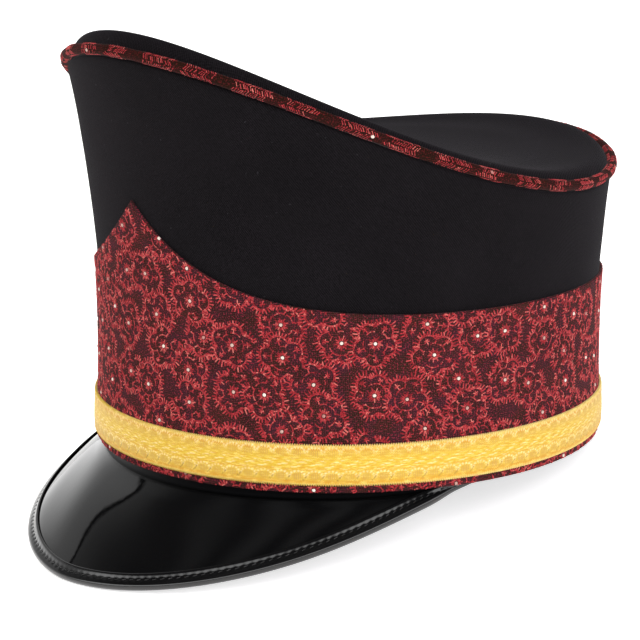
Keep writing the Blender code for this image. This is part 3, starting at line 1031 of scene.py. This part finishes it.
def peakUpper(angle, rows):
    # straight down to the crease, round it, then out along crease + s slope + bulge 4 s (1 - s)
    p = peakSizes
    upwards = np.array([0, 0, 1])
    flange, crease, edge, outline = peakSections(angle)
    slope = edge - crease
    outward = np.stack([np.sin(angle), -np.cos(angle), 0 * angle], -1)
    levelRun = (slope * outward).sum(-1, keepdims=True)
    arch = unit(outward * -slope[:, 2:] + upwards * levelRun)
    length = np.linalg.norm(slope, axis=-1)
    start = np.minimum(p["creaseRadius"] * 2 / length, 0.35)
    share = np.linspace(0, 1, rows)[:, None]
    s = start + (1 - start) * share
    ripple = np.sin(6.5 * angle + 5.0 * s) + 0.7 * np.sin(13 * angle - 7.0 * s + 1.0)
    calm = np.clip(share / 0.15, 0, 1) * np.clip((1 - share) / 0.15, 0, 1)
    lift = outline * (p["bulge"] * 4 * s * (1 - s) + p["ripple"] * ripple * calm)
    outwards = crease + slope * s[..., None] + arch * lift[..., None]
    # the crease is a quadratic bend between a point above it and the slope's first point
    above = crease + upwards * (start * length)[:, None]
    b = np.linspace(0, 1, 7)[:-1, None, None]
    bend = (1 - b) ** 2 * above + 2 * b * (1 - b) * crease + b ** 2 * outwards[0]
    up = np.linspace(0, 1, 4)[:-1, None, None]
    sewn = flange + (above - flange) * up
    return np.concatenate([sewn, bend, outwards])


def gridNormals(points):
    # square to the rows and the columns of an open grid
    return unit(np.cross(np.gradient(points, axis=0), np.gradient(points, axis=1)))


def cappedGrid(loop):
    # closes both ends of a tube of rows x columns by drawing one more column in to its middle
    first = np.broadcast_to(loop[:, :1].mean(0, keepdims=True), loop[:, :1].shape)
    last = np.broadcast_to(loop[:, -1:].mean(0, keepdims=True), loop[:, -1:].shape)
    return np.concatenate([first, loop, last], 1)


patentLook = {"colour": (0.0028, 0.0028, 0.0031), "roughness": 0.05, "specular": 0.5, "coat": 0.25,
              "peel": 0.000012}


def patentPaint(name, look, grain):
    # a smooth black gloss whose roughness drifts with a slow noise, over a faint orange peel
    paint = Paint(name)
    # where its mask is 1 it is painted shadow: a matt black metal that gives nothing back stands in for the
    # shade under the band
    cloud = paint.noise(paint.coordinates("Object"), 90.0, 2.0)
    peel = paint.noise(paint.coordinates("Object"), grain, 2.0)
    dull = paint.mask("dull")
    rough = (look["roughness"] + (cloud - 0.5) * look["roughness"] * 0.6 + dull * 0.5).clamped(0.01, 1.0)
    return paint.finish({"Base Color": look["colour"], "Roughness": rough, "Metallic": dull,
                         "Specular IOR Level": look["specular"], "Coat Weight": (1.0 - dull) * look["coat"],
                         "Coat Roughness": 0.03, "Normal": paint.bump(peel, look["peel"], 1.0)})


def peakAngles(columns):
    return np.linspace(-1, 1, columns) * math.radians(peakSizes["end"])


blackPatent = patentPaint("black_patent", patentLook, 420.0)
peakTop = peakUpper(peakAngles(peakSizes["columns"]), peakSizes["rows"])
peakNormal = gridNormals(peakTop)
peakNormal = peakNormal * np.sign(peakNormal[-1, :, 2].mean())
peakUnder = peakTop - peakNormal * peakSizes["thickness"]
peakLoop = cappedGrid(np.concatenate([peakTop, peakUnder[::-1]])[::-1])
rowRun = np.concatenate([np.arange(len(peakLoop)), [len(peakLoop)]]) * 0.001
columnRun = np.arange(peakLoop.shape[1]) * 0.001
# painted shadow: the sewn part and its bend are made a matt black that reflects nothing, for the shade under
# the band
underBandShadow = np.clip((10 - np.arange(len(peakTop))) / 2, 0, 1)
underBandShadow = np.concatenate([underBandShadow, underBandShadow[::-1]])[::-1, None] + 0 * peakLoop[..., 0]
peakPatent = gridPiece("peak_patent", peakLoop, gridUv(columnRun[None], rowRun[:, None]), blackPatent,
                       True, False, {"dull": underBandShadow}, weld=True)
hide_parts("peak")

# The binding: a strip folded over the peak's edge, with a bead along its inner side and a row of stitches
bindingSizes = {
    "width": 0.0060,
    "endWidth": 0.0039,        # the same inside the wall, at the peak's ends
    "thickness": 0.0008,
    "skin": 0.00030,           # its upper flap, drawn thin where it is stretched over the edge
    "roll": 0.0013,
    "clearance": 0.0009,       # left between its flaps and the peak's crease
    "bead": 0.00030,           # how far the inner bead stands up
    "beadAt": 0.84,            # share of the flap's width from its outer side
    "beadHalf": 0.20,
    "groove": 0.00020,         # depth of the stitched channel
    "grooveAt": 0.42,
    "grooveHalf": 0.19,
    "stitchPitch": 0.00305,
    "pucker": 0.00005,
    "columns": 801,
}


def bindingFrame(angle):
    # places along the peak's edge: the way in along its face, the ways up there and at the flap's inner end,
    # the way out from the edge, and the flap's width
    top = peakUpper(angle, 60)
    edge, before = top[-1], top[-10]
    inwards = unit(before - edge)
    along = unit(np.gradient(edge, axis=0))
    slant = np.sqrt(1 - (inwards * along).sum(-1) ** 2)
    b = bindingSizes
    width = b["width"] + (b["endWidth"] - b["width"]) * ease(angle, peakSizes["foldAt"]) - b["roll"]
    room = np.linalg.norm(edge - peakSections(angle)[1], axis=-1) - b["clearance"]
    width = np.minimum(width / slant, room)
    up = unit(np.cross(along, inwards))
    inner = edge + inwards * width[:, None]
    innerUp = unit(np.cross(np.gradient(inner, axis=0), inwards))
    return edge, inwards, np.cross(along, up), up, innerUp, width


def onFlap(place, inward, height):
    # from the edge, inward along the face or outward past it, then height along the way up there
    edge, inwards, out, up, innerUp, width = place
    share = np.clip(inward / width, 0, 1)[..., None]
    square = unit(up * (1 - share) + innerUp * share)
    return edge + inwards * np.maximum(inward, 0)[..., None] - out * np.minimum(inward, 0)[..., None] \
        + square * height[..., None]


def bindingRelief(share):
    # a bead near the inner side of the flap and a channel along its middle, each a Gaussian across it
    b = bindingSizes
    bead = b["bead"] * np.exp(-((share - b["beadAt"]) / b["beadHalf"]) ** 2)
    return bead - b["groove"] * np.exp(-((share - b["grooveAt"]) / b["grooveHalf"]) ** 2)


def bindingGrid(sizes):
    # its rows close a section: over the flap, round the roll, back underneath, and inside the fold
    place = bindingFrame(peakAngles(sizes["columns"]))
    edge, width = place[0], place[-1]
    run = runLength(edge)
    above = hat["gap"] + sizes["skin"]
    under = -(peakSizes["thickness"] + hat["gap"] + sizes["thickness"])
    half = (above - under) / 2
    w = np.linspace(1, 0, 26)[:, None]
    channel = np.exp(-((w - sizes["grooveAt"]) / sizes["grooveHalf"]) ** 2)
    pucker = sizes["pucker"] * np.cos(tau * run / sizes["stitchPitch"]) * channel
    # the flap thins out to its inner edge
    endRound = sizes["skin"] * 0.8 * np.clip((w - 0.88) / 0.12, 0, 1) ** 2
    turn = np.linspace(math.pi / 2, -math.pi / 2, 17)[1:-1, None]
    w2 = np.linspace(0, 1, 8)[:, None]
    flat = 0 * run
    gap, inside = hat["gap"], under + sizes["thickness"]
    sections = (
        (w * width, above + bindingRelief(w) + pucker - endRound),
        (-sizes["roll"] * np.cos(turn) + flat, (above + under) / 2 + half * np.sin(turn) + flat),
        (w2 * width, under + 0 * w2 + flat),
        (width[None], inside + flat[None]),
        (-gap + flat[None], inside + flat[None]),
        (-gap + flat[None], gap + flat[None]),
        (width[None] - gap, gap + flat[None]),
    )
    inward = np.concatenate([part[0] for part in sections])
    height = np.concatenate([part[1] for part in sections])
    return onFlap(place, inward, height), run


bindingLook = {"colour": (0.0035, 0.0035, 0.0038), "roughness": 0.13, "specular": 0.5, "coat": 0.25,
               "peel": 0.00003}
bindingPatent = patentPaint("binding_patent", bindingLook, 900.0)
bindingLoop, edgeRun = bindingGrid(bindingSizes)
bindingLoop = cappedGrid(bindingLoop)
columnRun = np.concatenate([edgeRun[:1], edgeRun, edgeRun[-1:]])
bindingStrip = gridPiece("binding_strip", bindingLoop,
                         gridUv(columnRun[None], np.arange(len(bindingLoop) + 1)[:, None] * 0.0005),
                         bindingPatent, True, False, weld=True)
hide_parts("peak_binding")

stitchLook = {"length": 0.0016, "width": 0.00050, "lift": 0.00022, "slant": 0.00028}


def stitchPaint():
    paint = Paint("black_stitch")
    tint = paint.mask("tint")
    colour = paint.mix(tint, (0.008, 0.008, 0.008), (0.030, 0.029, 0.030))
    return paint.finish({"Base Color": colour, "Roughness": 0.45, "Specular IOR Level": 0.4})


stitchPlace = bindingFrame(peakAngles(1801))
stitchRun = runLength(stitchPlace[0])


def onBinding(u, v, lift):
    # u runs along the peak's edge, v inwards from it across the flap
    place = [np.stack([np.interp(u, stitchRun, values[:, k]) for k in range(3)], -1)
             for values in stitchPlace[:-1]]
    width = np.interp(u, stitchRun, stitchPlace[-1])
    height = hat["gap"] + bindingSizes["skin"] - bindingSizes["groove"] + lift
    return onFlap((*place, width), v, height)


pitch = bindingSizes["stitchPitch"]
first = np.arange(5 * pitch, stitchRun[-1] - 6 * pitch, pitch)
line = np.interp(first, stitchRun, stitchPlace[-1]) * bindingSizes["grooveAt"]
starts = np.stack([first, line - stitchLook["slant"]], -1)
ends = np.stack([first + stitchLook["length"], line + stitchLook["slant"]], -1)
stitchPiece("binding_stitches", starts, ends, np.full(len(first), stitchLook["width"]), stitchLook["lift"],
            onBinding, random.random(len(first)), stitchPaint())

# The photograph's camera, given on the level hat: where it stands, its turn and its lens
cameraView = {
    "azimuth": 49.0,           # degrees from the front towards the wearer's left
    "elevation": 12.81,
    "roll": 0.43,
    "distance": 0.8948,
    "aimHeight": 0.04086,
    "lens": 128.85,            # millimetres on a 36 mm sensor
    "pan": 0.01186,            # metres that the aim moves to the picture's left
}


def standing(right, up, back, place):
    # the world matrix of a camera or lamp, which looks against its way back
    return Matrix([*np.column_stack([right, up, back, place]).tolist(), [0, 0, 0, 1]])


def placeCamera(look):
    a, e, roll = (math.radians(look[k]) for k in ("azimuth", "elevation", "roll"))
    back = np.array([math.sin(a) * math.cos(e), -math.cos(a) * math.cos(e), math.sin(e)])
    right = np.array([math.cos(a), math.sin(a), 0])
    up = np.cross(back, right)
    right, up = math.cos(roll) * right + math.sin(roll) * up, math.cos(roll) * up - math.sin(roll) * right
    target = np.array([0, 0, look["aimHeight"]])
    place = target + back * look["distance"]
    back = unit(place - (target - right * look["pan"]))
    right = unit(np.cross(up, back))
    up = np.cross(back, right)
    camera = bpy.data.objects.new("photo_camera", bpy.data.cameras.new("photo_camera"))
    camera.data.lens = look["lens"]
    camera.data.sensor_width = 36
    camera.data.clip_start, camera.data.clip_end = 0.05, 50
    camera.matrix_world = standing(*leaned(np.stack([right, up, back])), onFloor(place))
    bpy.context.scene.collection.objects.link(camera)
    bpy.context.scene.camera = camera


placeCamera(cameraView)

# The studio: a pale floor, soft boxes and a bright surround
studio = {
    "floorHalf": 5.0,
    "floorColour": (0.95, 0.95, 0.95),
    "floorGlow": 0.65,         # keeps the paper white, and the shadow soft
    # name, place, aim, size, power in watts, colour
    "lights": (
        ("over", (0.3, -0.5, 1.6), (0, 0, 0.08), (1.6, 1.2), 11.0, (1.0, 1.0, 1.0)),
        ("left", (-1.3, -0.9, 0.7), (0, 0, 0.05), (0.9, 1.3), 10.0, (1.0, 0.93, 0.80)),
        ("right", (1.6, -0.2, 0.9), (0, 0, 0.08), (0.8, 1.4), 18.0, (1.0, 0.96, 1.0)),
    ),
    "surround": 0.45,          # strength of the even light from all sides
    # brightness that a gloss sees behind the hat and on the camera's side, by the sine of the height
    "farGloss": ((0.0, 2.1), (0.09, 1.8), (0.20, 1.35), (0.30, 0.95), (0.37, 0.66), (0.45, 0.50),
                 (0.580, 0.48), (0.593, 0.0), (0.606, 0.0), (0.622, 0.22), (0.70, 0.16), (0.76, 0.08),
                 (0.82, 0.035), (1.0, 0.02)),
    "nearGloss": ((0.0, 0.02), (0.16, 0.03), (0.24, 2.8), (0.62, 2.8), (0.72, 0.03), (1.0, 0.02)),
    "streaks": 0.10,           # brightness of the faint upright reflections in it
    "streakCount": 26.0,
}


def buildStudio(look):
    half = look["floorHalf"]
    mesh = bpy.data.meshes.new("floor")
    corners = [(-half, -half, 0), (half, -half, 0), (half, half, 0), (-half, half, 0)]
    mesh.from_pydata(corners, [], [(0, 1, 2, 3)])
    paper = Paint("floor_paper").finish({"Base Color": look["floorColour"], "Roughness": 0.9,
                                         "Emission Color": (1.0, 1.0, 1.0),
                                         "Emission Strength": look["floorGlow"], "Specular IOR Level": 0.1})
    mesh.materials.append(paper)
    floor = bpy.data.objects.new("floor", mesh)
    bpy.context.scene.collection.objects.link(floor)
    for name, place, aim, size, power, tone in look["lights"]:
        light = bpy.data.lights.new(name, "AREA")
        light.color = tone
        light.shape = "RECTANGLE"
        light.size, light.size_y = size
        light.energy = power
        box = bpy.data.objects.new(name, light)
        back = unit(np.array(place, float) - np.array(aim, float))
        right = unit(np.cross([0, 0, 1], back))
        box.matrix_world = standing(right, np.cross(back, right), back, place)
        box.visible_glossy = False
        bpy.context.scene.collection.objects.link(box)
    # the surround is white to the eye and even to a matt surface; a gloss sees it fade towards the ceiling
    sky = Paint("studio", bpy.data.worlds.new("studio"))
    x, y, z = sky.split(sky.node("ShaderNodeTexCoord", {}, {}, "Generated"))
    far, near = (sky.ramp(z, [(place, (value, value, value)) for place, value in look[side]])
                 for side in ("farGloss", "nearGloss"))
    azimuth = math.radians(cameraView["azimuth"])
    side = ((x * math.sin(azimuth) - y * math.cos(azimuth)) * 5.0 + 0.5).clamped(0.0, 1.0)
    shades = sky.mix(side, far, near)
    streak = (((x + y * 0.4) * look["streakCount"]).sine() * 0.5 + 0.5) * look["streaks"]
    overhead = ((z - 0.85) * 10.0).clamped(0.0, 1.0)
    shades = sky.mix(streak * overhead, shades, (1.0, 1.0, 1.0))
    glossy = sky.node("ShaderNodeLightPath", {}, {}, "Is Glossy Ray")
    seen = sky.node("ShaderNodeLightPath", {}, {}, "Is Camera Ray")
    colour = sky.mix(glossy, (look["surround"],) * 3, shades)
    colour = sky.mix(seen, colour, (1.0, 1.0, 1.0))
    background = sky.node("ShaderNodeBackground", {}, {"Color": colour, "Strength": 1.0})
    sky.node("ShaderNodeOutputWorld", {}, {"Surface": background})
    bpy.context.scene.world = sky.owner
    bpy.context.scene.view_settings.view_transform = "Standard"


buildStudio(studio)
print("studio ready")
